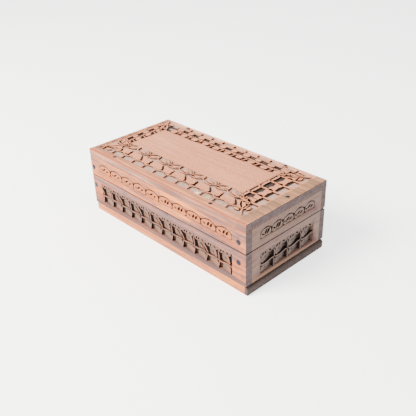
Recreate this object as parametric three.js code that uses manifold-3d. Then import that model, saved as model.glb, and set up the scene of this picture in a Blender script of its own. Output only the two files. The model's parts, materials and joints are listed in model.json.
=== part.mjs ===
// A carved wooden puzzle box with a hidden lock, in millimetres, +Z up.
//
// The front is -Y, and the box rests on its base board. To open it, the base board is pushed to the left;
// the right end panel, whose lower edge is undercut, rides down on the base board's corner and bares a
// keyhole in the lock wall behind it. The base board's left end brings the key out of the box in a pocket.
// The key throws the bolt of a small lock out of the staple under the lid, and the lid turns on two hinges.
import * as THREE from "three";
import { mergeVertices } from "three/addons/utils/BufferGeometryUtils.js";
import Module from "manifold-3d";

const wasm = await Module();
wasm.setup();

// ---- Driving dimensions ----

const length = 203; // of the long boards, along X
const width = 99; // over the front and back boards, along Y
const height = 65.4; // from the table to the top of the lid
const seamHeight = 38.4; // where the lid meets the body
const baseThickness = 7.4;
const topThickness = 7.2;
const longThickness = 6.5; // front and back boards
const leftThickness = 8; // both left end boards
const panelThickness = 5; // the end panel that drops
const lockWallThickness = 5;
const floorThickness = 3.5;

const glueGap = 0.1; // between boards that are glued or nailed
const seamGap = 0.4; // between the lid and the body
const slideGap = 0.25; // round what slides
const fitGap = 0.12; // round a nail, a screw or a pin in its hole

// ---- The base board's slide and the end panel's drop ----

const travel = 18; // of the base board; the end panel drops as far, because it is undercut at 45 degrees
const baseOverhang = 1.8; // how far the base board stands out at the right when it is shut
const baseRearInset = 2; // the base board is narrower than the box at the back
const tongueThickness = 2; // of the tongues along the end panel's sides
const tongueDepth = 2.6;
const tongueTopInset = 2; // from the panel's top edge down to the tongues

const runnerSpacing = 60; // between the two dovetail runners
const runnerNeck = 7.5; // a runner's width where it leaves its groove
const runnerFoot = 10;
const runnerDepth = 3.3; // how far a runner reaches into the base board
const runnerLength = 156;
const runnerStart = 21; // from the left end of the box
const floorLift = 1.5; // from the base board up to the floor
const floorTongue = 2; // how far the floor is let into the walls

const stopPinRadius = 1.3;
const stopPinDepth = 3.6; // how far the base stop pin reaches into the base board
const baseStopInset = 41.5; // from the box's right end to the pin
const panelStopInset = 4.6; // from the front board to the pin in the lock wall
const panelStopRise = 8.6; // from the base board up to that pin
const panelSlotDepth = 1.7;

// ---- The hidden key ----

const bowRadius = 5.5;
const bowHole = 3.3;
const bowThickness = 1.8;
const shankRadius = 1.4;
const shankLength = 21;
const bitReach = 5.4; // from the shank's axis
const bitLength = 3.4;
const bitThickness = 1.4;
const keyTip = 0.6; // from the bit to the shank's end
const pocketWall = 2.5; // from the base board's left end to the key's pocket
const pocketDepth = 4.4;
const pocketRoom = 0.5; // round the key

// ---- The lock ----

const caseDepth = 5.2; // the lock case, along X
const caseWidth = 24;
const caseTop = 0.6; // from the seam down to the case
const caseHeight = 17.9;
const caseWall = 0.9;
const earWidth = 5.5;
const earThickness = 0.8;
const boltThickness = 1.6;
const boltHeight = 3.2;
const boltLength = 14.3;
const boltThrow = 5.3;
const boltDrop = 5.1; // from the seam to the middle of the bolt
const boltTip = 1.4; // from the bolt's end to the staple, when drawn back
const ledgeThickness = 1; // of the two ledges that the bolt slides on
const ledgeReach = 3; // under the bolt's tail
const ledgeRoom = 0.15;
const talonWidth = 2.6;
const talonDepth = 1.4;
const tabThickness = 1.6; // the staple's tab, which hangs into the lock
const tabWidth = 3.6;
const tabDrop = 8.9;
const tabPlace = 7; // from the box's middle line to the tab, along Y
const tabHoleRoom = 0.35; // round the bolt
const tabSwing = 1.1; // the room that the tab's arc needs in the case's slot
const staplePlate = 1;
const stapleWidth = 16;
const stapleHeight = 8;
const stapleRise = 1.2; // from the seam up to the staple's plate
const keyAxisDrop = 11; // from the seam to the keyhole's round
const keyholeRoom = 0.4;

// ---- Hinges ----

const hingeLength = 20;
const hingeInset = 38; // from each end of the box to the middle of a hinge
const barrelRadius = 1.25;
const pinRadius = 0.6;
const boreRadius = 0.75;
const leafThickness = 0.9;
const leafReach = 4.9; // from the pin's axis to the leaf's far edge
const leafGap = 0.3; // between the two leaves of a shut hinge
const knuckle = 6.4; // the middle knuckle's length
const knuckleGap = 0.3;
const backChamfer = 1.6; // along the back of the seam, which lets the lid swing and then stops it

// ---- Fasteners ----

const nailHead = 2.4; // on the walls
const topNailHead = 1.9; // on the lid's top
const nailIsland = 0.6; // of wood left standing round a nail in the carving
const nailHeadDepth = 0.8;
const nailShank = 0.9;
const nailLength = 17;
const lidNailRise = 8.2; // from the seam up to the nails in the lid's boards
const bodyNailDrop = 10.8; // from the seam down to the nails in the body's boards
const leftTopNailInset = 34.3; // from the box's ends to the nails along the lid's front and back
const rightTopNailInset = 42.4;
const frontTopNailInset = 4.8; // from the box's front and back to those nails
const rearTopNailInset = 3;
const endTopNailY = 4.7; // the nail near the lid's right end
const screwHead = 1.3;
const screwHeadDepth = 0.75;
const screwShank = 0.6;
const screwLength = 6;
const lockScrewLength = 4.6; // shorter than the wall that it holds in
const screwSides = 10;
const slotWidth = 0.45; // of the slot in a screw's head
const slotDepth = 0.3;

// ---- Carved bands: pockets that the relief stands in, by their margins from a board's edges ----

const topBand = { left: 3.2, right: 11.2, front: 7.8, back: 2.7, depth: 1.6 };
const topField = { left: 20.8, right: 36.5, front: 35.1, back: 21.9 }; // the plain middle of the lid
const lidBand = { left: 13.2, right: 14.7, low: 6.2, high: 4.2, depth: 1.4, rise: 3, arches: 10, endArches: 5 };
const bodyBand = { left: 13.2, right: 14.7, low: 4, high: 6.2, depth: 3, rise: 0, arches: 0, endArches: 0 };
const endBand = { front: 16.2, back: 14.8 }; // on the end boards, from the box's front and back
const archSides = 6; // of each arch along a lid band's top edge

// ---- Places that follow from the sizes ----

const right = length / 2;
const left = -right;
const back = width / 2;
const front = -back;
const innerBack = back - longThickness;
const innerFront = -innerBack;
const bodyBottom = baseThickness + slideGap;
const bodyTop = seamHeight - seamGap / 2;
const lidBottom = seamHeight + seamGap / 2;
const lidBoardTop = height - topThickness - glueGap;
const panelInner = right - panelThickness;
const lockWallOuter = panelInner - slideGap;
const lockWallInner = lockWallOuter - lockWallThickness;
const lockWallMiddle = (lockWallOuter + lockWallInner) / 2;
const leftInner = left + leftThickness;
const floorBottom = baseThickness + floorLift;
const floorTop = floorBottom + floorThickness;
const panelTop = bodyTop - glueGap;
const hingeAxis = back - barrelRadius - 0.05;
const leftTopNailX = left + leftTopNailInset;
const rightTopNailX = right - rightTopNailInset;
const rearTopNailY = back - rearTopNailInset;

// ---- Tools for making solids ----

// The closed solid of a mesh, in the frame of the group that it stands in.
function solidOf(mesh) {
  mesh.updateMatrix();
  const faces = mesh.geometry.index ? mesh.geometry.toNonIndexed() : mesh.geometry;
  const bare = new THREE.BufferGeometry();
  bare.setAttribute("position", faces.getAttribute("position").clone());
  bare.applyMatrix4(mesh.matrix);
  const merged = mergeVertices(bare, 1e-4);
  return new wasm.Manifold(
    new wasm.Mesh({
      numProp: 3,
      vertProperties: merged.attributes.position.array,
      triVerts: new Uint32Array(merged.index.array),
    }),
  );
}

// Gives a mesh the shape of a solid, and leaves it in its place.
function reshape(mesh, solid) {
  const made = solid.getMesh();
  const geometry = new THREE.BufferGeometry();
  geometry.setAttribute("position", new THREE.BufferAttribute(new Float32Array(made.vertProperties), 3));
  geometry.setIndex(new THREE.BufferAttribute(new Uint32Array(made.triVerts), 1));
  geometry.applyMatrix4(mesh.matrix.clone().invert());
  mesh.geometry = geometry.toNonIndexed();
  mesh.geometry.computeVertexNormals();
  return mesh;
}

function cut(mesh, ...tools) {
  return reshape(mesh, tools.reduce((solid, tool) => solid.subtract(solidOf(tool)), solidOf(mesh)));
}

function join(mesh, ...additions) {
  return reshape(mesh, additions.reduce((solid, more) => solid.add(solidOf(more)), solidOf(mesh)));
}

// A block from one corner to the other, placed by its middle.
function block([x0, y0, z0], [x1, y1, z1], material) {
  const mesh = new THREE.Mesh(new THREE.BoxGeometry(x1 - x0, y1 - y0, z1 - z0), material);
  mesh.position.set((x0 + x1) / 2, (y0 + y1) / 2, (z0 + z1) / 2);
  return mesh;
}

// A bar of the given section. Along X the section's points are (y, z), and along Y they are (x, z).
function bar(points, along, from, to, material) {
  const shape = new THREE.Shape(points.map(([a, b]) => new THREE.Vector2(a, b)));
  const geometry = new THREE.ExtrudeGeometry(shape, { depth: to - from, bevelEnabled: false });
  const mesh = new THREE.Mesh(geometry, material);
  if (along === "x") {
    mesh.quaternion.set(0.5, 0.5, 0.5, 0.5); // turns x to y, y to z and z to x
    mesh.position.x = from;
  } else {
    mesh.rotation.x = Math.PI / 2;
    mesh.position.y = to;
  }
  return mesh;
}

// A turned piece whose axis points along `direction` from `place`. The profile's points are (radius, along).
function turned(profile, place, direction, sides, material) {
  const points = profile.map(([radius, along]) => new THREE.Vector2(radius, along));
  const mesh = new THREE.Mesh(new THREE.LatheGeometry(points, sides), material);
  mesh.quaternion.setFromUnitVectors(new THREE.Vector3(0, 1, 0), new THREE.Vector3(...direction));
  mesh.position.set(...place);
  return mesh;
}

function rod(radius, from, to, place, direction, sides, material) {
  return turned([[0, from], [radius, from], [radius, to], [0, to]], place, direction, sides, material);
}

// ---- Materials ----

const finish = (color, roughness, metalness = 0) => new THREE.MeshStandardMaterial({ color, roughness, metalness });
const wood = {
  lid: finish(0xc99f83, 0.55),
  front: finish(0xc8946f, 0.55),
  end: finish(0x9b7f6b, 0.62),
  base: finish(0xb98a66, 0.6),
  inside: finish(0xa98164, 0.7),
};
const iron = finish(0x3b4350, 0.6, 0.7);
const brass = finish(0xb08d4a, 0.4, 0.9);
const steel = finish(0x9a9a98, 0.35, 1);

// ---- Nails and screws, each with the tool that makes its hole ----

const nailProfile = (head) => (room) => {
  return [
    [0, -nailLength - room],
    [nailShank + room, -nailLength + nailShank],
    [nailShank + room, -nailHeadDepth - nailShank - room],
    [head + room, -nailHeadDepth - room],
    [head + room, room ? 1 : 0],
    [0, room ? 1 : 0],
  ];
};

function screwProfile(room, length) {
  return [
    [0, -length - room],
    [screwShank + room, -length + screwShank],
    [screwShank + room, -screwHeadDepth - room],
    [screwHead + room, 0],
    ...(room ? [[screwHead + room, 1]] : []),
    [0, room ? 1 : 0],
  ];
}

// Drives a nail or screw through the boards. Its head's face is at `place`, and it points away from `out`.
function drive(profileOf, name, place, out, material, ...boards) {
  const piece = turned(profileOf(0), place, out, screwSides, material);
  piece.name = name;
  boards.forEach((board) => cut(board, turned(profileOf(fitGap), place, out, screwSides, material)));
  return piece;
}

function nail(head, name, place, out, ...boards) {
  return drive(nailProfile(head), name, place, out, iron, ...boards);
}

// A screw has a slot across its head.
function screw(length, name, place, out, ...boards) {
  const piece = drive((room) => screwProfile(room, length), name, place, out, brass, ...boards);
  const slot = new THREE.Mesh(new THREE.BoxGeometry(3 * screwHead, 2 * slotDepth, slotWidth), brass);
  slot.position.copy(piece.position);
  slot.quaternion.copy(piece.quaternion);
  return cut(piece, slot);
}

// ---- The lid's boards ----

const lid = new THREE.Group();
const body = new THREE.Group();
const base = new THREE.Group();

function named(name, mesh, group) {
  mesh.name = name;
  group.add(mesh);
  return mesh;
}

const topBoard = named(
  "lid_top_board",
  block([left, front, height - topThickness], [right, back, height], wood.lid),
  lid,
);
const topPocketFloor = height - topBand.depth;
const topPocket = block(
  [left + topBand.left, front + topBand.front, topPocketFloor],
  [right - topBand.right, back - topBand.back, height + 1],
  wood.lid,
);
cut(
  topPocket,
  block(
    [left + topField.left, front + topField.front, topPocketFloor - 1],
    [right - topField.right, back - topField.back, height + 2],
    wood.lid,
  ),
  ...[leftTopNailX, rightTopNailX].map((x) =>
    rod(topNailHead + nailIsland, topPocketFloor - 1, height + 2, [x, rearTopNailY, 0], [0, 0, 1], 16, wood.lid),
  ),
);
cut(topBoard, topPocket);

// A sunk band's outline, anticlockwise. Its top edge is straight, or a row of arches that rise by `rise`.
function bandOutline(from, to, low, high, rise, arches) {
  const points = [[from, low], [to, low], [to, high - rise]];
  if (arches === 0) return [...points, [from, high]];
  const step = (to - from) / arches;
  for (let side = 1; side <= arches * archSides; side++) {
    const t = side / archSides;
    points.push([to - step * t, high - rise + rise * Math.abs(Math.sin(Math.PI * t))]);
  }
  return points;
}

// A board across the front or back, with a carved band in its outer face.
function longBoard(name, side, low, high, band, material, group) {
  const outer = side * back;
  const inner = side * innerBack;
  const board = block(
    [left, Math.min(outer, inner), low],
    [right, Math.max(outer, inner), high],
    material,
  );
  const bed = outer - side * band.depth;
  const mouth = outer + side;
  const outline = bandOutline(
    left + band.left, right - band.right, low + band.low, high - band.high, band.rise, band.arches,
  );
  cut(board, bar(outline, "y", Math.min(bed, mouth), Math.max(bed, mouth), material));
  return named(name, board, group);
}

const lidFront = longBoard("lid_front_board", -1, lidBottom, lidBoardTop, lidBand, wood.front, lid);
const lidBack = longBoard("lid_back_board", 1, lidBottom, lidBoardTop, lidBand, wood.front, lid);
const bodyFront = longBoard("body_front_board", -1, bodyBottom, bodyTop, bodyBand, wood.front, body);
const bodyBack = longBoard("body_back_board", 1, bodyBottom, bodyTop, bodyBand, wood.front, body);

// A carved pocket in an end board's outer face, at x = `face`.
function endPocket(face, low, high, band) {
  const side = Math.sign(face);
  const bed = face - side * band.depth;
  const mouth = face + side;
  const outline = bandOutline(
    front + endBand.front, back - endBand.back, low + band.low, high - band.high, band.rise, band.endArches,
  );
  return bar(outline, "x", Math.min(bed, mouth), Math.max(bed, mouth), wood.end);
}

// A board between the front and back boards, from x0 to x1.
function endBoard(name, x0, x1, low, high, material, group) {
  const board = block([x0, innerFront + glueGap, low], [x1, innerBack - glueGap, high], material);
  return named(name, board, group);
}

const lidLeft = endBoard("lid_left_end_board", left, leftInner, lidBottom, lidBoardTop, wood.end, lid);
const lidRight = endBoard("lid_right_end_board", lockWallInner, right, lidBottom, lidBoardTop, wood.end, lid);
const bodyLeft = endBoard("body_left_end_board", left, leftInner, bodyBottom, bodyTop, wood.end, body);
const lockWall = endBoard("lock_wall", lockWallInner, lockWallOuter, bodyBottom, bodyTop, wood.inside, body);
cut(lidLeft, endPocket(left, lidBottom, lidBoardTop, lidBand));
cut(lidRight, endPocket(right, lidBottom, lidBoardTop, lidBand));
cut(bodyLeft, endPocket(left, bodyBottom, bodyTop, bodyBand));

// Chamfers along the back of the seam, so that the lid can turn on an axis inside the back face.
cut(
  lidBack,
  bar(
    [[back - backChamfer, lidBottom - 1], [back + 1, lidBottom - 1], [back + 1, lidBottom + backChamfer + 1],
      [back, lidBottom + backChamfer], [back - backChamfer, lidBottom]],
    "x", left - 1, right + 1, wood.front,
  ),
);
cut(
  bodyBack,
  bar(
    [[back - backChamfer, bodyTop], [back, bodyTop - backChamfer], [back + 1, bodyTop - backChamfer - 1],
      [back + 1, bodyTop + 1], [back - backChamfer, bodyTop + 1]],
    "x", left - 1, right + 1, wood.front,
  ),
);

// ---- The floor, let into all four walls, and the runners under it ----

const floor = named(
  "floor_board",
  block(
    [leftInner - floorTongue, innerFront - floorTongue, floorBottom],
    [lockWallInner + floorTongue, innerBack + floorTongue, floorTop],
    wood.inside,
  ),
  body,
);
const floorGroove = block(
  [leftInner - floorTongue - glueGap, innerFront - floorTongue - glueGap, floorBottom - glueGap],
  [lockWallInner + floorTongue + glueGap, innerBack + floorTongue + glueGap, floorTop + glueGap],
  wood.inside,
);
[bodyFront, bodyBack, bodyLeft, lockWall].forEach((board) => cut(board, floorGroove));

// A dovetail section about the line y = `middle`, grown by `room`, between two heights.
function dovetail(middle, room, low, high) {
  const neck = runnerNeck / 2 + room;
  const foot = runnerFoot / 2 + room;
  return [
    [middle - foot, low],
    [middle + foot, low],
    [middle + neck, baseThickness],
    [middle + neck, high],
    [middle - neck, high],
    [middle - neck, baseThickness],
  ];
}

const baseLeft = left + baseOverhang;
const baseRight = right + baseOverhang;
const baseBoard = named(
  "base_board",
  bar(
    [[baseLeft, 0], [baseRight, 0], [baseRight, baseThickness - baseOverhang], [right, baseThickness],
      [baseLeft, baseThickness]],
    "y", front, back - baseRearInset, wood.base,
  ),
  base,
);

const runnerFrom = left + runnerStart;
const runnerTo = runnerFrom + runnerLength;
for (const [name, side] of [["front_base_runner", -1], ["rear_base_runner", 1]]) {
  const middle = (side * runnerSpacing) / 2;
  const foot = baseThickness - runnerDepth;
  named(
    name,
    bar(dovetail(middle, 0, foot, floorBottom - glueGap), "x", runnerFrom, runnerTo, wood.inside),
    body,
  );
  cut(
    baseBoard,
    bar(
      dovetail(middle, slideGap, foot - slideGap, baseThickness + 1),
      "x", baseLeft - 1, runnerTo + travel + 1, wood.base,
    ),
  );
}

// ---- The base board's stop pin ----

const baseStopX = right - baseStopInset;
const baseStop = rod(
  stopPinRadius, baseThickness - stopPinDepth, floorTop - 0.5, [baseStopX, 0, 0], [0, 0, 1], screwSides, steel,
);
named("base_stop_pin", baseStop, body);
cut(
  floor,
  rod(stopPinRadius + fitGap, floorBottom - 1, floorTop - 0.3, [baseStopX, 0, 0], [0, 0, 1], screwSides, steel),
);
const stopReach = stopPinRadius + slideGap;
cut(
  baseBoard,
  block(
    [baseStopX - stopReach, -stopReach, baseThickness - stopPinDepth - slideGap],
    [baseStopX + travel + stopReach, stopReach, baseThickness + 1],
    wood.base,
  ),
);

// ---- The end panel, with an undercut lower edge and a tongue along each side ----

const panelBottom = bodyBottom + panelThickness; // where the undercut meets the inner face
const endPanel = bar(
  [[panelInner, panelBottom], [right, bodyBottom], [right, panelTop], [panelInner, panelTop]],
  "y", innerFront + slideGap, innerBack - slideGap, wood.end,
);
const tongueTop = panelTop - tongueTopInset;
join(
  endPanel,
  bar(
    [[panelInner, panelBottom], [panelInner + tongueThickness, panelBottom - tongueThickness],
      [panelInner + tongueThickness, tongueTop], [panelInner, tongueTop]],
    "y", innerFront - tongueDepth, innerBack + tongueDepth, wood.end,
  ),
);
named("end_panel", endPanel, body);
cut(endPanel, endPocket(right, bodyBottom, bodyTop, bodyBand));
for (const [board, side] of [[bodyFront, -1], [bodyBack, 1]]) {
  const mouth = side * (innerBack - 1);
  const bed = side * (innerBack + tongueDepth + slideGap);
  cut(
    board,
    block(
      [panelInner - slideGap, Math.min(mouth, bed), bodyBottom - 1],
      [panelInner + tongueThickness + slideGap, Math.max(mouth, bed), tongueTop + slideGap],
      wood.front,
    ),
  );
}

// The pin in the lock wall that runs in a slot in the panel's back, and stops it at the end of its drop.
const panelStopY = innerFront + panelStopInset;
const panelStopZ = baseThickness + panelStopRise;
const panelStop = rod(
  stopPinRadius, -lockWallThickness + 1, panelSlotDepth,
  [lockWallOuter, panelStopY, panelStopZ], [1, 0, 0], screwSides, steel,
);
named("panel_stop_pin", panelStop, body);
cut(
  lockWall,
  rod(
    stopPinRadius + fitGap, -lockWallThickness + 0.8, 1,
    [lockWallOuter, panelStopY, panelStopZ], [1, 0, 0], screwSides, steel,
  ),
);
cut(
  endPanel,
  block(
    [panelInner - 1, panelStopY - stopReach, panelStopZ - stopReach],
    [panelInner + panelSlotDepth, panelStopY + stopReach, panelStopZ + travel + stopReach],
    wood.end,
  ),
);

// ---- The key, lying across the base board in its pocket ----

const keyX = baseLeft + pocketWall + pocketRoom + bowRadius;
const keyZ = baseThickness - pocketDepth + shankRadius + 0.3;
const keyLength = 2 * bowRadius + shankLength;
const keyFront = -keyLength / 2;
const bowY = keyFront + bowRadius;
const shankEnd = keyFront + keyLength;
const key = rod(shankRadius, bowY + bowRadius - 0.8, shankEnd, [keyX, 0, keyZ], [0, 1, 0], 12, steel);
join(
  key,
  rod(bowRadius, -bowThickness / 2, bowThickness / 2, [keyX, bowY, keyZ], [0, 0, 1], 24, steel),
  block(
    [keyX, shankEnd - keyTip - bitLength, keyZ - bitThickness / 2],
    [keyX + bitReach, shankEnd - keyTip, keyZ + bitThickness / 2],
    steel,
  ),
);
cut(key, rod(bowHole, -bowThickness, bowThickness, [keyX, bowY, keyZ], [0, 0, 1], 20, steel));
named("key", key, base);
cut(
  baseBoard,
  block(
    [keyX - bowRadius - pocketRoom, keyFront - pocketRoom, baseThickness - pocketDepth],
    [keyX + bowRadius + pocketRoom, shankEnd + pocketRoom, baseThickness + 1],
    wood.base,
  ),
);

// ---- The lock: a tray against the lock wall, and a bolt that slides in it through the lid's staple ----

const caseOuter = lockWallInner - glueGap; // the open side of the tray
const caseInner = caseOuter - caseDepth;
const caseHigh = bodyTop - caseTop;
const caseLow = caseHigh - caseHeight;
const lockCase = block([caseInner, -caseWidth / 2, caseLow], [caseOuter, caseWidth / 2, caseHigh], brass);
join(
  lockCase,
  block(
    [caseOuter - earThickness, -caseWidth / 2 - earWidth, caseLow + 3],
    [caseOuter, caseWidth / 2 + earWidth, caseHigh - 3],
    brass,
  ),
);
const tabNear = tabPlace - tabThickness / 2;
const tabFar = tabPlace + tabThickness / 2;
const tabInner = caseOuter - 0.2 - tabWidth;
cut(
  lockCase,
  block(
    [caseInner + caseWall, -caseWidth / 2 + caseWall, caseLow + caseWall],
    [caseOuter + 1, caseWidth / 2 - caseWall, caseHigh - caseWall],
    brass,
  ),
  block(
    [tabInner - slideGap, tabNear - tabSwing, caseHigh - 2 * caseWall],
    [caseOuter + 1, tabFar + tabSwing, caseHigh + 1],
    brass,
  ),
);
const boltMiddle = tabInner + tabWidth / 2;
const boltZ = seamHeight - boltDrop;
const boltEnd = tabNear - boltTip;
const ledgeTop = boltZ - boltHeight / 2 - ledgeRoom;
const ledgeOuter = boltMiddle + boltThickness / 2;
join(
  lockCase,
  block(
    [caseInner + caseWall / 2, -caseWidth / 2 + caseWall / 2, ledgeTop - ledgeThickness],
    [ledgeOuter, boltEnd - boltLength + ledgeReach, ledgeTop],
    brass,
  ),
  block(
    [caseInner + caseWall / 2, tabFar + tabSwing, ledgeTop - ledgeThickness],
    [ledgeOuter, caseWidth / 2 - caseWall / 2, ledgeTop],
    brass,
  ),
);
named("lock_case", lockCase, body);

const bolt = block(
  [boltMiddle - boltThickness / 2, boltEnd - boltLength, boltZ - boltHeight / 2],
  [boltMiddle + boltThickness / 2, boltEnd, boltZ + boltHeight / 2],
  steel,
);
const talonY = boltEnd - boltLength / 2;
const keyholeY = talonY + boltThrow / 2;
cut(
  bolt,
  block(
    [boltMiddle - boltThickness, talonY - talonWidth / 2, boltZ - boltHeight],
    [boltMiddle + boltThickness, talonY + talonWidth / 2, boltZ - boltHeight / 2 + talonDepth],
    steel,
  ),
);
named("lock_bolt", bolt, body);

// The flat spring that holds the bolt where it is put: a shallow bow between the case's top and the bolt.
const springLow = boltZ + boltHeight / 2 + 0.1;
const springHigh = caseHigh - caseWall - 0.1;
const springFrom = -caseWidth / 2 + caseWall + 0.5;
const springTo = tabNear - tabSwing - 0.4;
const springStrip = 0.35;
const springLine = [0, 0.25, 0.5, 0.75, 1].map((t) => [
  springFrom + (springTo - springFrom) * t,
  springHigh - (springHigh - springLow - springStrip) * Math.sin(Math.PI * t),
]);
const spring = bar(
  [...springLine.map(([y, z]) => [y, z - springStrip]), ...springLine.reverse()],
  "x", boltMiddle - 0.8, boltMiddle + 0.8, steel,
);
named("bolt_spring", spring, body);

// The keyhole through the lock wall: a round for the shank and a slot below it for the bit.
const keyAxisZ = seamHeight - keyAxisDrop;
cut(
  lockWall,
  rod(
    shankRadius + keyholeRoom, -1, lockWallThickness + 1,
    [lockWallInner, keyholeY, keyAxisZ], [1, 0, 0], 16, steel,
  ),
);
cut(
  lockWall,
  block(
    [lockWallInner - 1, keyholeY - bitThickness / 2 - keyholeRoom, keyAxisZ - bitReach - keyholeRoom],
    [lockWallOuter + 1, keyholeY + bitThickness / 2 + keyholeRoom, keyAxisZ],
    steel,
  ),
);

// The staple on the lid: a plate against the end board, with a tab that hangs into the lock.
const stapleOuter = lockWallInner - glueGap;
const stapleLow = lidBottom + stapleRise;
const staple = block(
  [stapleOuter - staplePlate, tabPlace - stapleWidth / 2, stapleLow],
  [stapleOuter, tabPlace + stapleWidth / 2, stapleLow + stapleHeight],
  brass,
);
join(
  staple,
  block([tabInner, tabNear, seamHeight - tabDrop], [stapleOuter - 0.1, tabFar, stapleLow + stapleHeight], brass),
);
cut(
  staple,
  block(
    [boltMiddle - boltThickness / 2 - tabHoleRoom, tabNear - 1, boltZ - boltHeight / 2 - tabHoleRoom],
    [boltMiddle + boltThickness / 2 + tabHoleRoom, tabFar + 1, boltZ + boltHeight / 2 + tabHoleRoom],
    brass,
  ),
);
named("lid_staple", staple, lid);

for (const [name, y] of [["front", -1], ["rear", 1]].map(([n, s]) => [n, tabPlace + s * 5])) {
  const place = [stapleOuter - staplePlate, y, stapleLow + stapleHeight / 2];
  lid.add(screw(screwLength, `staple_screw_${name}`, place, [-1, 0, 0], staple, lidRight));
}
for (const [name, side] of [["front", -1], ["rear", 1]]) {
  const place = [caseOuter - earThickness, side * (caseWidth / 2 + earWidth / 2), (caseLow + caseHigh) / 2];
  body.add(screw(lockScrewLength, `lock_screw_${name}`, place, [-1, 0, 0], lockCase, lockWall));
}

// ---- The hinges ----

// One leaf: a plate with its knuckles, on the lid (side 1) or on the body (side -1).
function hingeLeaf(name, x, side, group) {
  const half = hingeLength / 2;
  const nearPlane = seamHeight + (side * leafGap) / 2;
  const farPlane = nearPlane + side * leafThickness;
  const low = Math.min(nearPlane, farPlane);
  const high = Math.max(nearPlane, farPlane);
  const leaf = block([x - half, hingeAxis - leafReach, low], [x + half, hingeAxis, high], brass);
  const barrelRoom = barrelRadius + 0.2;
  const middleClear = knuckle / 2 + knuckleGap;
  const knuckles = side > 0 ? [[-knuckle / 2, knuckle / 2]] : [[-half, -middleClear], [middleClear, half]];
  const clearings = side > 0 ? [[-half - 1, -knuckle / 2], [knuckle / 2, half + 1]] : [[-middleClear, middleClear]];
  clearings.forEach(([from, to]) =>
    cut(leaf, block([x + from, hingeAxis - barrelRoom, low - 1], [x + to, hingeAxis + 1, high + 1], brass)),
  );
  knuckles.forEach(([from, to]) =>
    join(leaf, rod(barrelRadius, from, to, [x, hingeAxis, seamHeight], [1, 0, 0], 16, brass)),
  );
  cut(leaf, rod(boreRadius, -half - 1, half + 1, [x, hingeAxis, seamHeight], [1, 0, 0], 12, brass));
  return named(name, leaf, group);
}

for (const [place, x] of [["left", left + hingeInset], ["right", right - hingeInset]]) {
  const half = hingeLength / 2;
  const lidLeaf = hingeLeaf(`${place}_hinge_lid_leaf`, x, 1, lid);
  const bodyLeaf = hingeLeaf(`${place}_hinge_body_leaf`, x, -1, body);
  const pin = rod(pinRadius, -half, half, [x, hingeAxis, seamHeight], [1, 0, 0], 12, steel);
  named(`${place}_hinge_pin`, pin, body);
  const deep = leafThickness + leafGap / 2 + fitGap;
  const mortise = block(
    [x - half - fitGap, hingeAxis - leafReach - fitGap, seamHeight - deep],
    [x + half + fitGap, hingeAxis, seamHeight + deep],
    brass,
  );
  const barrelNotch = block(
    [x - half - fitGap, hingeAxis - barrelRadius - 0.25, seamHeight - barrelRadius - 0.25],
    [x + half + fitGap, back + 1, seamHeight + barrelRadius + 0.25],
    brass,
  );
  [lidBack, bodyBack].forEach((board) => cut(board, mortise, barrelNotch));
  for (const [end, sign] of [["a", -1], ["b", 1]]) {
    const screwX = x + sign * (half - 3.6);
    const screwY = hingeAxis - leafReach + 1.75;
    const lift = leafGap / 2 + 0.02;
    const lidPlace = [screwX, screwY, seamHeight + lift];
    const bodyPlace = [screwX, screwY, seamHeight - lift];
    lid.add(screw(screwLength, `${place}_hinge_lid_screw_${end}`, lidPlace, [0, 0, -1], lidLeaf, lidBack));
    body.add(screw(screwLength, `${place}_hinge_body_screw_${end}`, bodyPlace, [0, 0, 1], bodyLeaf, bodyBack));
  }
}

// ---- Nails ----

const lidNailZ = seamHeight + lidNailRise;
const bodyNailZ = seamHeight - bodyNailDrop;
const leftNailX = left + leftThickness / 2;
const sides = [["front", -1, lidFront, bodyFront], ["rear", 1, lidBack, bodyBack]];
const ends = [["left", leftNailX, lidLeft, bodyLeft], ["right", lockWallMiddle, lidRight, lockWall]];
for (const [where, side, lidBoard, bodyBoard] of sides) {
  const out = [0, side, 0];
  const face = side * back;
  for (const [end, x, lidEnd, bodyEnd] of ends) {
    lid.add(nail(nailHead, `lid_${where}_${end}_nail`, [x, face, lidNailZ], out, lidBoard, lidEnd));
    body.add(nail(nailHead, `body_${where}_${end}_nail`, [x, face, bodyNailZ], out, bodyBoard, bodyEnd));
  }
}
const topNails = [
  ["front_left", leftTopNailX, front + frontTopNailInset, lidFront],
  ["front_right", rightTopNailX, front + frontTopNailInset, lidFront],
  ["rear_left", leftTopNailX, rearTopNailY, lidBack],
  ["rear_right", rightTopNailX, rearTopNailY, lidBack],
  ["right_end", (lockWallInner + right) / 2, endTopNailY, lidRight],
];
for (const [where, x, y, board] of topNails) {
  lid.add(nail(topNailHead, `top_${where}_nail`, [x, y, height], [0, 0, 1], topBoard, board));
}

const puzzleBox = new THREE.Group();
puzzleBox.add(lid, body, base);

export default puzzleBox;
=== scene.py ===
# %% [markdown]
# # A carved wooden puzzle box
#
# The box is an oblong keepsake box of a light hardwood, nailed together from thin boards and carved on
# its lid and its walls. Its moving parts already exist as plain solids, which hold the sizes, the hinges
# and the slides. This lesson gives them their looks: softened edges, a carved relief, wood, iron and
# brass. Everything is in metres, but the carving's own drawing is in millimetres, as a carver would mark
# it out.

# %% The plain solids and the sizes that follow from them
import json
import math
import random

import bmesh
import bpy
from mathutils import Matrix, Vector


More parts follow.
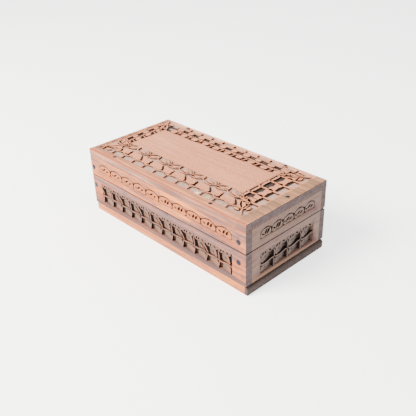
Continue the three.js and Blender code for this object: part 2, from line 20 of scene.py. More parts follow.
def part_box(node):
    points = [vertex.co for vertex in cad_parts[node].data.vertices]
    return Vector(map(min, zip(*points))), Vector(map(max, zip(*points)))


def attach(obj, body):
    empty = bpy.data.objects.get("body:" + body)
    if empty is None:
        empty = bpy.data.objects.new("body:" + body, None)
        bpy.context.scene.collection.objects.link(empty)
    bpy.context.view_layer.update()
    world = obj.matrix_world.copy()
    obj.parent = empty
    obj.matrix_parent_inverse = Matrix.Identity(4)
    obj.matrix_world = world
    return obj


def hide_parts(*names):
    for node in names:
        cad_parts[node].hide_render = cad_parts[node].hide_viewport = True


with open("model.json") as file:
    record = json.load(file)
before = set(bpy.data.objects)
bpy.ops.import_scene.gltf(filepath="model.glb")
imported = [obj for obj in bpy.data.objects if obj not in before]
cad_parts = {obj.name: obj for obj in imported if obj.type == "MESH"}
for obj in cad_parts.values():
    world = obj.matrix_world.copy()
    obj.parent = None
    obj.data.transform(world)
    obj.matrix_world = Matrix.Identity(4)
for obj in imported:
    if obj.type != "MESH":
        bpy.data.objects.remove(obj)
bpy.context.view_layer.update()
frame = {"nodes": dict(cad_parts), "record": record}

MM = 0.001
low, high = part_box("lid_top_board")
LEFT, FRONT, TOP = low.x, low.y, high.z
RIGHT, BACK = high.x, high.y
print("box", [round((high - low)[k] / MM, 1) for k in range(3)], "mm over the lid board")


# %% [markdown]
# ## Writing materials as expressions
#
# A wood material is mostly arithmetic: how far along the grain, how deep below the face, how much of one
# colour and how much of another. Nodes can do it, but a page of `nodes.new` lines hides the sums. So one
# small class wraps a socket and lets Python's operators add the Math nodes, and one method makes every
# other kind of node.

# %% A class for sums on sockets
class Field:
    """The value of a socket in a material. Arithmetic on it adds Math nodes."""

    def __init__(self, wood, socket):
        self.wood = wood
        self.socket = socket

    def math(self, operation, *others):
        return self.wood.node("ShaderNodeMath", {"operation": operation}, dict(enumerate([self, *others])))

    def __add__(self, other):
        return self.math("ADD", other)

    def __sub__(self, other):
        return self.math("SUBTRACT", other)

    def __mul__(self, other):
        return self.math("MULTIPLY", other)

    def __rsub__(self, other):
        return self.wood.node("ShaderNodeMath", {"operation": "SUBTRACT"}, {0: other, 1: self})

    def __gt__(self, other):
        return self.math("GREATER_THAN", other)

    def __lt__(self, other):
        return self.math("LESS_THAN", other)

    def __abs__(self):
        return self.math("ABSOLUTE")

    def ramp(self, start, end, low=0.0, high=1.0):
        """Goes smoothly from `low` to `high` as the value goes from `start` to `end`."""
        settings = {"interpolation_type": "SMOOTHSTEP"}
        sockets = {0: self, 1: start, 2: end, 3: low, 4: high}
        return self.wood.node("ShaderNodeMapRange", settings, sockets)

    __radd__ = __add__
    __rmul__ = __mul__


class Finish:
    """A material being written. `node` adds any node: its type, its settings, then its sockets."""

    def __init__(self, name):
        self.material = bpy.data.materials.new(name)
        self.material.use_nodes = True
        self.tree = self.material.node_tree
        self.shader = self.tree.nodes["Principled BSDF"]
        self.place = self.node("ShaderNodeTexCoord", {}, {}, "Object")
        self.x, self.y, self.z = (
            self.node("ShaderNodeSeparateXYZ", {}, {0: self.place}, letter) for letter in "XYZ"
        )

    def node(self, kind, settings, sockets, output=0):
        made = self.tree.nodes.new(kind)
        for name, value in settings.items():
            setattr(made, name, value)
        for name, value in sockets.items():
            self.feed(made.inputs[name], value)
        return Field(self, made.outputs[output])

    def feed(self, socket, value):
        if isinstance(value, Field):
            self.tree.links.new(value.socket, socket)
        else:
            socket.default_value = value

    def scaled(self, scale, offset=(0, 0, 0)):
        """The place on the piece, stretched by three factors and moved."""
        settings = {"operation": "MULTIPLY_ADD"}
        return self.node("ShaderNodeVectorMath", settings, {0: self.place, 1: scale, 2: offset})

    def noise(self, vector, detail=3.0, roughness=0.55, distortion=0.0):
        sockets = {"Vector": vector, "Scale": 1.0, "Detail": detail}
        sockets |= {"Roughness": roughness, "Distortion": distortion}
        return self.node("ShaderNodeTexNoise", {}, sockets, "Fac")

    def mix(self, amount, one, other):
        """Colour `one` where `amount` is 0 and colour `other` where it is 1."""
        settings = {"data_type": "RGBA", "clamp_factor": True}
        one, other = (colour if isinstance(colour, Field) else (*colour, 1.0) for colour in (one, other))
        return self.node("ShaderNodeMix", settings, {0: amount, 6: one, 7: other}, 2)

    def finish(self, **sockets):
        for name, value in sockets.items():
            value = (*value, 1.0) if isinstance(value, tuple) and len(value) == 3 else value
            self.feed(self.shader.inputs[name.replace("_", " ").title().replace("Ior", "IOR")], value)
        return self.material


# %% [markdown]
# ## Wood
#
# The boards are a pale, pinkish to orange hardwood, such as sheesham sapwood, with mauve-brown streaks
# that run along the board, fine dark pores, and a thin varnish that has worn and gathered dirt. Sawn
# across, the ends of the fibres drink the varnish and turn a dull grey brown. Deep in the carving there
# is dust on the flat ground, and the ground and the walls are darkened with depth, which is painted shade
# for the recesses with some dirt in it. All of that follows the grain and the depth below the carved
# face, so the material reads the piece's own coordinates, and one function writes it for any board.

# %% Colours and the wood
TOP_TONES = ((0.75, 0.34, 0.190), (0.57, 0.205, 0.085))
LID_TONES = ((0.54, 0.155, 0.028), (0.33, 0.070, 0.008))
BODY_TONES = ((0.42, 0.100, 0.018), (0.25, 0.050, 0.007))
# The end boards' tones are greyer wood, darkened further as painted shade for the right-hand end, which
# faces away from the light.
SHADED_END_TONES = ((0.130, 0.068, 0.043), (0.100, 0.050, 0.031))
INSIDE_TONES = ((0.42, 0.24, 0.15), (0.38, 0.20, 0.11))
MAUVE = (0.105, 0.050, 0.046)
DARK_PORE = (0.030, 0.013, 0.011)
END_GRAIN = (0.050, 0.039, 0.041)
# The next colour is dirt in the seams, and painted shade in the deepest gaps of the carving.
DIRT_AND_SHADE = (0.014, 0.009, 0.009)  # in the seams and in the deepest gaps
BARE = (0.36, 0.20, 0.12)  # on the boards' inner sides
VARNISH = (0.26, 0.060, 0.012)
BELOW_THE_FACE = 0.06 * MM  # from here down the wood counts as carved
DEEPEST_CARVING = 4 * MM
INNER_SIDE = 4.5 * MM  # a face as deep as this, and turned inward, is a board's inner side


def wood(
    name, grain, face, tones, bands=(), streaks=0.5, seed=0.0, tints=(), overlay_stripes=(), gaps=(), rubbed=None,
    patches=(),
):
    """Wood whose fibres run along axis `grain` (0, 1 or 2) and whose carved side is `face`.

    `face` is the carved side's axis and its outward place along it, such as (2, TOP). `tones` are the pale
    and the warm colour. `bands` are the carved areas: the low and high corners on the other two axes, and
    the colours of the sunk ground, of the standing wood and of the upright cuts. `tints` are stripes in the
    wood: an axis, where it starts and ends, how soft its edges are, its colour and how strong it is.
    `overlay_stripes` are the same on top of everything, sawn ends too: dark joints, and on the base a
    painted shadow. `gaps` are the corners of areas where the ground is painted black, as shadow in narrow
    slots.
    `rubbed` is a stained upper arris. `patches` are lumps of pale filler: the
    middle, the radius and the colour."""
    f = Finish(name)
    stretch = lambda along, across: [along if axis == grain else across for axis in range(3)]
    offset = (seed, seed * 1.7, seed * 2.3)
    broad = f.noise(f.scaled(stretch(7, 75), offset), 2.5, 0.5, 0.6)
    lines = f.noise(f.scaled(stretch(16, 330), offset), 3.0, 0.6, 0.3)
    fibres = f.noise(f.scaled(stretch(45, 1100), offset), 2.0, 0.6)
    pores = f.noise(f.scaled(stretch(120, 1300), offset), 1.0, 0.5)
    clouds = f.noise(f.scaled(stretch(14, 30), offset), 2.0, 0.5)

    tone = f.mix(clouds.ramp(0.32, 0.66), *tones)
    streak = broad.ramp(0.48, 0.64) * (0.35 + 0.65 * lines.ramp(0.38, 0.58)) * streaks
    tone = f.mix(streak * 0.95, tone, MAUVE)
    tone = f.mix(lines.ramp(0.46, 0.62) * 0.6 * streaks, tone, MAUVE)
    tone = f.mix(fibres.ramp(0.5, 0.66) * 0.5 * streaks, tone, MAUVE)
    tone = f.mix(pores.ramp(0.62, 0.69) * 0.8 * streaks, tone, DARK_PORE)

    place = (f.x, f.y, f.z)

    def striped(tone, stripes):
        for axis, start, end, soft, colour, strength in stripes:
            stripe = place[axis].ramp(start - soft, start) * place[axis].ramp(end, end + soft, strength, 0.0)
            tone = f.mix(stripe * (0.7 + 0.6 * lines.ramp(0.3, 0.7)), tone, colour)
        return tone

    normal = f.node("ShaderNodeTexCoord", {}, {}, "Normal")
    facing = abs(f.node("ShaderNodeSeparateXYZ", {}, {0: normal}, "XYZ"[grain]))
    across = facing.ramp(0.35, 0.75)
    speckle = f.noise(f.scaled((500, 500, 500), offset), 3.0, 0.6)
    rings = f.noise(f.scaled((90, 90, 300), offset), 3.0, 0.6, 0.4)
    end_tone = f.mix(speckle.ramp(0.35, 0.7) * 0.45, END_GRAIN, MAUVE)
    end_tone = f.mix(rings.ramp(0.42, 0.66) * 0.5, end_tone, DARK_PORE)
    tone = f.mix(across * 0.985, striped(tone, tints), end_tone)
    tone = striped(tone, overlay_stripes)

    axis, outside = face
    outward = 1 if outside > 0 else -1
    depth = (outside - place[axis]) * outward
    toward = f.node("ShaderNodeSeparateXYZ", {}, {0: normal}, "XYZ"[axis]) * outward
    flat = abs(toward).ramp(0.6, 0.95)
    others = [k for k in range(3) if k != axis]
    dust = f.noise(f.scaled((420, 420, 420), offset), 3.0, 0.6)
    grime = f.noise(f.scaled((700, 700, 700), offset), 2.0, 0.6).ramp(0.5, 0.7)

    def within(corner, far):
        area = (depth > -0.1 * MM) * (depth < DEEPEST_CARVING)
        for k, start, end in zip(others, corner, far):
            area = (place[k] > start) * (place[k] < end) * area
        return area

    for corner, far, ground, standing, cut in bands:
        area = within(corner, far)
        below = area * (depth > BELOW_THE_FACE)
        tone = f.mix(area * (0.72 + 0.26 * clouds.ramp(0.35, 0.65)), tone, standing)
        tone = f.mix(area * grime * 0.45, tone, cut)
        ground = f.mix(dust.ramp(0.4, 0.75) * 0.5, ground, cut)
        # The sunk ground darkens with depth and the upright walls go dark below the face: painted shade in
        # the recesses, with some dust and dirt.
        tone = f.mix(below * flat * depth.ramp(0.4 * MM, 1.3 * MM) * 0.88, tone, ground)
        tone = f.mix(below * (1 - flat) * depth.ramp(0.05 * MM, 0.5 * MM) * 0.95, tone, cut)
    # Painted shadow: in these strips the ground is painted black, as the shade in narrow slots.
    for corner, far in gaps:
        tone = f.mix(within(corner, far) * depth.ramp(0.7 * MM, 1.3 * MM) * 0.93, tone, DIRT_AND_SHADE)
    if rubbed:
        arris = (f.z - (rubbed - 1.7 * MM)).ramp(0.0, 0.5 * MM)
        arris = arris * (f.y - (FRONT + 0.9 * MM)).ramp(-0.3 * MM, 0.5 * MM, 1, 0)
        tone = f.mix(arris * 0.85, tone, VARNISH)
    for middle, radius, colour in patches:
        away = f.node("ShaderNodeVectorMath", {"operation": "DISTANCE"}, {0: f.place, 1: middle}, "Value")
        near = (away + (dust - 0.5) * radius).ramp(radius * 0.75, radius, 1.0, 0.0)
        tone = f.mix(near * (depth > 0.4 * MM), tone, colour)
    tone = f.mix((toward < -0.5) * (depth > INNER_SIDE) * 0.8, tone, BARE)

    rough = 0.48 + 0.25 * across + 0.22 * lines.ramp(0.4, 0.7)
    grooves = fibres * 0.5 + lines * 0.5 - pores.ramp(0.66, 0.74) * 0.8
    sockets = {"Strength": 0.35, "Distance": 0.15 * MM, "Height": grooves}
    bump = f.node("ShaderNodeBump", {}, sockets, "Normal")
    return f.finish(
        base_color=tone, roughness=rough, normal=bump, coat_weight=0.04, coat_roughness=0.3,
        specular_ior_level=0.22,
    )


# %% [markdown]
# ## Boards with softened edges
#
# A board is sawn square and then sanded, so every arris catches a thin line of light. The plain solids
# have the right sizes, rebates, nail holes and sunk bands, but knife-sharp edges. A copy of each is
# merged, its flat faces are joined up, and the long outer edges are bevelled. The lid's upper edges are
# rubbed rounder than the others, because hands go there.

# %% Softening a board
def close(a, b):
    return abs(a - b) < 0.02 * MM


def soften(bm, corners, width, rounder=None, rounder_width=0.0):
    """Bevels the edges of a board that lie on its own box. `rounder` picks edges for a wider bevel."""

    def on_arris(edge):
        one, two = (vert.co for vert in edge.verts)
        held = [
            axis for axis in range(3)
            if close(one[axis], two[axis]) and any(close(one[axis], corner[axis]) for corner in corners)
        ]
        return len(held) == 2

    edges = [edge for edge in bm.edges if on_arris(edge)]
    wide = [edge for edge in edges if rounder and rounder(edge)]
    thin = [edge for edge in edges if edge not in wide]
    for chosen, size, steps in ((wide, rounder_width, 4), (thin, width, 2)):
        chosen = [edge for edge in chosen if edge.is_valid]
        if chosen:
            bmesh.ops.bevel(
                bm, geom=chosen, offset=size, offset_type="OFFSET", affect="EDGES", segments=steps,
                profile=0.5, material=-1, clamp_overlap=True,
            )


def board_from(node, width=0.3 * MM, rounder=None, rounder_width=0.0):
    bm = bmesh.new()
    bm.from_mesh(frame["nodes"][node].data)
    bmesh.ops.remove_doubles(bm, verts=bm.verts, dist=0.002 * MM)
    bmesh.ops.dissolve_limit(bm, angle_limit=math.radians(0.5), verts=bm.verts, edges=bm.edges)
    soften(bm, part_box(node), width, rounder, rounder_width)
    return bm


def add_piece(name, bm, node, body, material, smooth_angle=35):
    """Makes the finished mesh an object that stands for a plain solid and stays inside that solid's box."""
    lowest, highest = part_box(node)
    for vert in bm.verts:
        vert.co = [min(max(value, low), high) for value, low, high in zip(vert.co, lowest, highest)]
    mesh = bpy.data.meshes.new(name)
    bmesh.ops.triangulate(bm, faces=[face for face in bm.faces if len(face.verts) > 4])
    bm.to_mesh(mesh)
    bm.free()
    mesh.materials.append(material)
    mesh.shade_smooth()
    mesh.set_sharp_from_angle(angle=math.radians(smooth_angle))
    piece = bpy.data.objects.new(name, mesh)
    bpy.context.scene.collection.objects.link(piece)
    shading = piece.modifiers.new("even shading", "WEIGHTED_NORMAL")
    shading.keep_sharp = True
    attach(piece, body)
    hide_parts(node)
    print(name, len(mesh.polygons), "faces")
    return piece


# %% [markdown]
# ## How the carving is drawn
#
# The carver sinks the ground of each band and leaves stems and leaves standing. A stem is a line with a
# width that swells and tapers, and a leaf is a closed outline, where an outline inside another is a gouge
# cut. The stems are drawn as one flat curve and the leaves as a second one, because a flat curve is only
# filled when all its lines are closed. The extrusion gives the upright walls, and the bevel gives the
# rounded upper edge. A wide stem has a higher bevel, so its top is planed level with the others. The
# curves become one mesh, and that mesh is stamped along its band, with a little unevenness from stamp to
# stamp, because every repeat was cut by hand.

# %% Stems, leaves and stamps
def almond(u, v, long, wide, tilt=0.0):
    """The outline of a pointed leaf about (u, v): tip, side, tip, side."""
    turn = math.radians(tilt)
    along = Vector((math.cos(turn), math.sin(turn)))
    across = Vector((-along.y, along.x))
    middle = Vector((u, v))
    tip, side = along * long / 2, across * wide / 2
    return [middle - tip, middle - side, middle + tip, middle + side]


def relief(stems=(), leaves=(), rounding=0.8, depth=3.0, sunk=0.08, fineness=3, slope=0.0, level_at=0.0):
    """A mesh of stems and leaves whose tops lie `sunk` below zero and whose feet reach below `depth`.

    A stem is a list of (u, v, width) points. A leaf is an outline of (u, v) points. With a `slope`, the
    tops sink further with every millimetre away from u = `level_at`. Millimetres."""
    height = depth + 0.2 - sunk
    bm = bmesh.new()
    for lines, outlines in ((stems, ()), ((), leaves)):
        if not lines and not outlines:
            continue
        curve = bpy.data.curves.new("relief", "CURVE")
        curve.dimensions = "2D"
        curve.fill_mode = "BOTH"
        curve.use_fill_caps = True
        curve.resolution_u = fineness
        curve.bevel_depth = rounding * MM
        curve.bevel_resolution = 1
        curve.extrude = (height / 2 - rounding) * MM
        for outline in outlines:
            spline = curve.splines.new("BEZIER")
            spline.bezier_points.add(len(outline) - 1)
            spline.use_cyclic_u = True
            for index, (point, (u, v)) in enumerate(zip(spline.bezier_points, outline)):
                tip = len(outline) == 4 and index % 2 == 0
                point.co = (u * MM, v * MM, 0)
                point.handle_left_type = point.handle_right_type = "VECTOR" if tip else "AUTO"
        for line in lines:
            spline = curve.splines.new("BEZIER")
            spline.bezier_points.add(len(line) - 1)
            for point, (u, v, width) in zip(spline.bezier_points, line):
                point.co = (u * MM, v * MM, 0)
                point.handle_left_type = point.handle_right_type = "AUTO"
                point.radius = width / 2 / rounding
        drawn = bpy.data.objects.new("relief", curve)
        bpy.context.scene.collection.objects.link(drawn)
        bm.from_mesh(drawn.evaluated_get(bpy.context.evaluated_depsgraph_get()).to_mesh())
        bpy.data.objects.remove(drawn)
    for vert in bm.verts:
        vert.co.z = max(-height / 2 * MM, min(height / 2 * MM, vert.co.z)) - (sunk + height / 2) * MM
        vert.co.z -= slope * abs(vert.co.x - level_at * MM)
    bmesh.ops.remove_doubles(bm, verts=bm.verts, dist=0.004 * MM)
    bmesh.ops.recalc_face_normals(bm, faces=bm.faces)
    mesh = bpy.data.meshes.new("relief")
    bm.to_mesh(mesh)
    bm.free()
    return mesh


hand = random.Random(11)


def stamp(bm, mesh, side, u, v, stretch=1.0, uneven=1.0):
    """Adds a relief mesh to a board, at (u, v) millimetres on one of its sides."""
    aside, upward = hand.uniform(-0.2, 0.2), hand.uniform(-0.15, 0.15)
    jog = Matrix.Translation((aside * uneven * MM, upward * uneven * MM, 0))
    lean = Matrix.Rotation(math.radians(hand.uniform(-1.2, 1.2)) * uneven, 4, "Z")
    size = Matrix.Diagonal((stretch, 1 + hand.uniform(-0.02, 0.02) * uneven, 1, 1))
    copy = mesh.copy()
    copy.transform(side @ Matrix.Translation((u * MM, v * MM, 0)) @ jog @ lean @ size)
    bm.from_mesh(copy)
    bpy.data.meshes.remove(copy)


def side_frame(origin, along, up):
    """The frame of a board's side: u along, v up, and the third axis out of the wood."""
    along, up = Vector(along), Vector(up)
    out = along.cross(up)
    frame_of_side = Matrix((along, up, out)).transposed().to_4x4()
    frame_of_side.translation = origin
    return frame_of_side


# %% [markdown]
# ## The ring on the lid
#
# A broad ring of vine work runs round a plain middle panel. It isn't centred: the plain margin is widest
# at the right-hand end. Along the front the ring is at its fullest. From the outside in there are short
# leaf bars that tie a running vine to the margin, a row of hooked leaflets and long slanting stems, and
# a row of almond eyes under arches. The other three sides are simpler: two running vines with bars,
# leaves and stems between them.

# %% One repeat of the front of the ring
STEP = 14.87  # from one leaf bar to the next, along the front and the back of the ring
REPEAT = 2 * STEP

RING_DEPTH = 1.6
RING_EDGE = 0.35  # how far the upper edges of the ring's stems are rounded

front_unit = relief(
    [
        [(-0.4, 7.2, 2.0), (4.6, 6.1, 2.6), (8.5, 7.0, 2.2), (12.0, 7.9, 2.4), (15.0, 7.2, 2.0),
         (19.5, 6.1, 2.6), (23.5, 7.0, 2.2), (27.0, 7.9, 2.4), (30.1, 7.2, 2.0)],
        [(5.9, -0.9, 2.2), (5.4, 2.4, 2.8), (4.6, 5.8, 2.0)],
        [(20.8, -0.9, 2.2), (20.3, 2.4, 2.8), (19.5, 5.8, 2.0)],
        [(0.8, 28.4, 1.4), (1.2, 24.8, 2.4), (2.2, 21.4, 1.8)],
        [(2.6, 21.6, 1.4), (5.4, 19.4, 2.2), (10.0, 18.0, 2.6), (15.0, 18.0, 2.2), (18.8, 20.4, 1.4)],
        [(5.4, 27.8, 1.2), (8.4, 26.8, 1.6), (11.5, 26.0, 2.0), (14.8, 24.4, 2.0), (18.4, 21.4, 1.6)],
        [(13.6, 28.0, 1.0), (17.2, 25.6, 1.3), (19.6, 22.6, 1.2)],
        [(20.4, 20.4, 1.6), (23.0, 24.0, 1.9), (27.0, 26.5, 1.9), (31.8, 26.8, 1.3)],
        [(21.4, 18.4, 1.4), (25.0, 18.2, 2.4), (29.4, 19.6, 2.2), (32.4, 22.6, 1.3)],
    ],
    [
        [(7.0, 9.5), (6.2, 12.6), (5.6, 15.7), (11.0, 16.1), (15.8, 16.3), (19.0, 13.0), (21.6, 9.5),
         (14.5, 9.2)],
        [(25.8, 9.5), (23.1, 12.8), (20.0, 16.4), (26.0, 16.4), (32.0, 15.8), (32.6, 12.8), (33.2, 9.6),
         (29.7, 9.2)],
        almond(10.6, 22.2, 8.4, 2.4, -10),
        almond(26.2, 22.0, 6.4, 2.4, 14),
    ],
    rounding=RING_EDGE, depth=RING_DEPTH,
)
print("front repeat", len(front_unit.polygons), "faces")

# %% The cells of the right, and a repeat of the back and the left
END_STEP = 12.7


def end_unit(bulge):
    """One cell of the ring's right side. Its inner stem bends towards the field by `bulge`."""
    return relief(
        [
            [(0.2, -0.7, 2.2), (0.5, 3.2, 3.4), (0.0, 8.6, 2.8)],
            [(0.0, 8.4, 2.6), (0.3, 13.0, 2.8), (-0.3, 18.0, 2.8), (0.0, 25.9, 2.0)],
            [(-0.2, 20.6, 2.6), (3.2, 20.5 + bulge, 3.8), (6.4, 20.5 + 1.2 * bulge, 4.2),
             (9.6, 20.5 + bulge, 3.8), (END_STEP + 0.2, 20.6, 2.6)],
        ],
        [
            [(-0.5, 9.2), (3.2, 8.6), (6.4, 9.2), (9.6, 8.4), (13.2, 9.2), (13.2, 13.6), (9.4, 14.4),
             (6.3, 13.4), (3.2, 14.6), (-0.5, 13.6)],
        ],
        rounding=RING_EDGE, depth=RING_DEPTH,
    )


end_units = [end_unit(0.7), end_unit(-0.5)]


def filled(low, high, foot, head):
    """A flat leaf that fills a cell from `low` to `high` along the side, between two stems."""
    mid = (foot + head) / 2
    left_side = [(low + 0.5, foot), (low, mid), (low + 0.9, head)]
    return left_side + [(high - 0.4, head), (high, mid), (high - 0.9, foot)]


back_unit = relief(
    [
        [(-0.4, 4.9, 2.2), (7.4, 4.5, 2.6), (14.9, 4.9, 2.2), (22.3, 4.5, 2.6), (30.1, 4.9, 2.2)],
        [(-0.4, 11.2, 2.4), (5.0, 11.6, 2.8), (12.0, 11.0, 2.4), (20.0, 11.6, 2.8), (30.1, 11.2, 2.4)],
        [(0.4, -0.9, 2.2), (0.8, 2.0, 2.8), (0.2, 4.8, 2.2)],
        [(STEP + 0.4, -0.9, 2.2), (STEP + 0.8, 2.0, 2.8), (STEP + 0.2, 4.8, 2.2)],
        [(2.6, 10.8, 1.8), (3.4, 14.8, 2.2), (4.8, 19.0, 1.6)],
        [(17.4, 10.8, 1.8), (18.2, 14.8, 2.2), (19.6, 19.0, 1.6)],
    ],
    [
        filled(5.4, 11.4, 6.9, 9.1), filled(19.6, 26.6, 6.9, 9.1),
        filled(7.4, 14.2, 13.6, 16.2), filled(22.4, 29.2, 13.6, 16.2),
        almond(11.0, 18.4, 9.0, 1.5, -2),
    ],
    rounding=RING_EDGE, depth=RING_DEPTH,
)

# %% The ring, side by side, on the lid board
RING_LEFT, RING_RIGHT, RING_FRONT, RING_BACK = 3.2, 11.2, 7.8, 2.7  # plain margins outside the ring
lid_length = (RIGHT - LEFT) / MM
lid_width = (BACK - FRONT) / MM
near_front = lambda edge: all(close(vert.co.z, TOP) for vert in edge.verts)
lid_top = board_from("lid_top_board", 0.4 * MM, near_front, 1.5 * MM)

front_side = side_frame((LEFT, FRONT + RING_FRONT * MM, TOP), (1, 0, 0), (0, 1, 0))
right_side = side_frame((RIGHT - RING_RIGHT * MM, FRONT, TOP), (0, 1, 0), (-1, 0, 0))
back_side = side_frame((RIGHT, BACK - RING_BACK * MM, TOP), (-1, 0, 0), (0, -1, 0))
left_side = side_frame((LEFT + RING_LEFT * MM, BACK, TOP), (0, -1, 0), (1, 0, 0))
for repeat in range(6):
    stamp(lid_top, front_unit, front_side, 3.9 + repeat * REPEAT, 0)
for cell in range(5):
    stamp(lid_top, end_units[cell % 2], right_side, 28.4 + cell * END_STEP, 0)
for repeat in range(5):
    stamp(lid_top, back_unit, back_side, 28.6 + repeat * REPEAT, 0)
for repeat in range(2):
    stamp(lid_top, back_unit, left_side, 17.0 + repeat * 26.4, -1.0, stretch=26.4 / REPEAT)

# %% The sloping lip inside the ring's outer edge
def add_lip(bm, middle, size, slope, depth):
    """Adds a lip that falls from the plain margin to the sunk ground, all round a rectangle."""
    lip = bmesh.new()
    bmesh.ops.create_grid(lip, x_segments=1, y_segments=1, size=0.5)
    bmesh.ops.scale(lip, verts=lip.verts, vec=(*size, 1))
    inner = lip.faces[:]
    bmesh.ops.inset_region(lip, faces=inner, thickness=slope, use_even_offset=True)
    bmesh.ops.translate(lip, verts=inner[0].verts, vec=(0, 0, -depth))
    bmesh.ops.delete(lip, geom=inner, context="FACES_ONLY")
    down = bmesh.ops.extrude_face_region(lip, geom=lip.faces[:], use_keep_orig=True)["geom"]
    lowered = [item for item in down if isinstance(item, bmesh.types.BMVert)]
    bmesh.ops.translate(lip, verts=lowered, vec=(0, 0, -0.5 * MM))
    bmesh.ops.recalc_face_normals(lip, faces=lip.faces)
    bmesh.ops.translate(lip, verts=lip.verts, vec=middle)
    mesh = bpy.data.meshes.new("lip")
    lip.to_mesh(mesh)
    lip.free()
    bm.from_mesh(mesh)
    bpy.data.meshes.remove(mesh)


ring_wide = lid_length - RING_LEFT - RING_RIGHT
ring_deep = lid_width - RING_FRONT - RING_BACK
ring_middle = (
    (LEFT + RIGHT) / 2 + (RING_LEFT - RING_RIGHT) / 2 * MM,
    (FRONT + BACK) / 2 + (RING_FRONT - RING_BACK) / 2 * MM,
    TOP - BELOW_THE_FACE,
)
LIP_OVERLAP = 0.5  # how much longer and wider the lip's rectangle is than the ring
LIP_SLOPE = 4.2
lip_size = ((ring_wide + LIP_OVERLAP) * MM, (ring_deep + LIP_OVERLAP) * MM)
add_lip(lid_top, ring_middle, lip_size, LIP_SLOPE * MM, (RING_DEPTH - 0.1) * MM)

# %% The ring's corners
corner_leaf = relief(
    [
        [(-9.0, 6.9, 2.2), (-6.4, 7.6, 2.4), (-7.4, 11.0, 2.2), (-7.2, 15.4, 2.0)],
        [(-0.4, -0.4, 1.6), (-3.6, 3.2, 2.8), (-6.6, 7.4, 2.2)],
        [(-7.4, 8.0, 2.0), (-12.2, 12.4, 3.4), (-17.4, 18.4, 2.0)],
        [(-8.2, 17.2, 1.6), (-12.4, 21.8, 2.4), (-18.4, 24.6, 1.6)],
    ],
    [almond(-4.0, 11.6, 5.6, 2.4, 96), almond(-11.4, 5.4, 5.6, 2.4, 172), almond(-9.6, 15.2, 5.2, 2.0, 120)],
    rounding=RING_EDGE, depth=RING_DEPTH,
)
for origin, along, up in [
    ((RIGHT - RING_RIGHT * MM, FRONT + RING_FRONT * MM, TOP), (1, 0, 0), (0, 1, 0)),
    ((RIGHT - RING_RIGHT * MM, BACK - RING_BACK * MM, TOP), (0, 1, 0), (-1, 0, 0)),
    ((LEFT + RING_LEFT * MM, BACK - RING_BACK * MM, TOP), (-1, 0, 0), (0, -1, 0)),
    ((LEFT + RING_LEFT * MM, FRONT + RING_FRONT * MM, TOP), (0, -1, 0), (1, 0, 0)),
]:
    stamp(lid_top, corner_leaf, side_frame(origin, along, up), 0, 0)
print("ring", round(ring_wide, 1), "by", round(ring_deep, 1), "mm")

# %% [markdown]
# ## The bands on the lid's walls
#
# Round the lid's walls runs a shallow band of arches. The plain solids have it sunk, with the arches cut
# along its upper edge. Under each arch stands a low cushion of wood, which leaves a V-shaped line all
# round it, and two slanting gouge cuts and a curved one are chopped into the cushion.

# %% The cushions of the arched band
def arch_cushion(wide, tall, valley, cuts):
    """A cushion that fills one arch of a band, with its gouge cuts."""
    gap = 1.2
    outline = [
        (gap, gap), (wide * 0.5, gap), (wide - gap, gap), (wide - gap, valley - 1.5),
        (wide * 0.77, tall - 2.4), (wide * 0.5, tall - 1.6), (wide * 0.23, tall - 2.4), (gap, valley - 1.5),
    ]
    scaled_cuts = [almond(wide * u, tall * v, *rest) for u, v, *rest in cuts]
    return relief((), [outline, *scaled_cuts], rounding=0.3, depth=1.4, sunk=0.12, fineness=3)


SLANTING_CUTS = [(0.50, 0.47, 6.8, 2.8, 56), (0.69, 0.45, 6.4, 2.7, 56), (0.24, 0.36, 4.6, 2.0, -30)]
LEAF_CUTS = [(0.43, 0.46, 7.4, 2.3, 30), (0.69, 0.38, 5.6, 2.1, 26), (0.21, 0.34, 4.4, 1.8, -30)]
LID_BAND = {"left": 13.2, "right": 14.7, "low": 6.2, "high": 4.2, "rise": 3.0}
END_BAND = {"front": 16.2, "back": 14.8}
lid_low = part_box("lid_front_board")[0].z
lid_tall = (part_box("lid_front_board")[1].z - lid_low) / MM - LID_BAND["low"] - LID_BAND["high"]
long_arch = (lid_length - LID_BAND["left"] - LID_BAND["right"]) / 10
end_arch = (lid_width - END_BAND["front"] - END_BAND["back"]) / 5
long_cushions, end_cushions = (
    {
        kind: arch_cushion(arch, lid_tall, lid_tall - LID_BAND["rise"], cuts)
        for kind, cuts in (("S", SLANTING_CUTS), ("L", LEAF_CUTS))
    }
    for arch in (long_arch, end_arch)
)
print("arches", round(long_arch, 1), "and", round(end_arch, 1), "mm wide")

# %% The four walls of the lid
band_z = lid_low / MM + LID_BAND["low"]
wall_frames = {
    "front": side_frame((LEFT, FRONT, 0), (1, 0, 0), (0, 0, 1)),
    "back": side_frame((RIGHT, BACK, 0), (-1, 0, 0), (0, 0, 1)),
    "right": side_frame((RIGHT, FRONT, 0), (0, 1, 0), (0, 0, 1)),
    "left": side_frame((LEFT, BACK, 0), (0, -1, 0), (0, 0, 1)),
}
arch_rows = {
    "front": (LID_BAND["left"], "LLLLLSSSSS", long_arch, long_cushions),
    "back": (LID_BAND["right"], "SSSSSLLLLL", long_arch, long_cushions),
    "right": (END_BAND["front"], "SSLLL", end_arch, end_cushions),
    "left": (END_BAND["back"], "LLLSS", end_arch, end_cushions),
}
lid_nodes = {
    "front": "lid_front_board", "back": "lid_back_board",
    "right": "lid_right_end_board", "left": "lid_left_end_board",
}
lid_walls = {}
for side, (start, order, step, cushions) in arch_rows.items():
    bm = board_from(lid_nodes[side])
    for arch, kind in enumerate(order):
        stamp(bm, cushions[kind], wall_frames[side], start + arch * step, band_z, uneven=0.35)
    lid_walls[side] = bm
print("arches stamped on", len(lid_walls), "walls of the lid")


# %% [markdown]
# ## The bands on the body's walls
#
# Lower down the ground is sunk three millimetres, so the cells between the stems fill with shadow. A vine
# runs along the middle of the band. Below it stand leaf bars, one to a cell. Above it every second cell
# has a bold slanting stem with a small fan of leaves at its foot, and the cells between have a short bar.
# A scalloped edge with gouge cuts hangs from the top of the band.

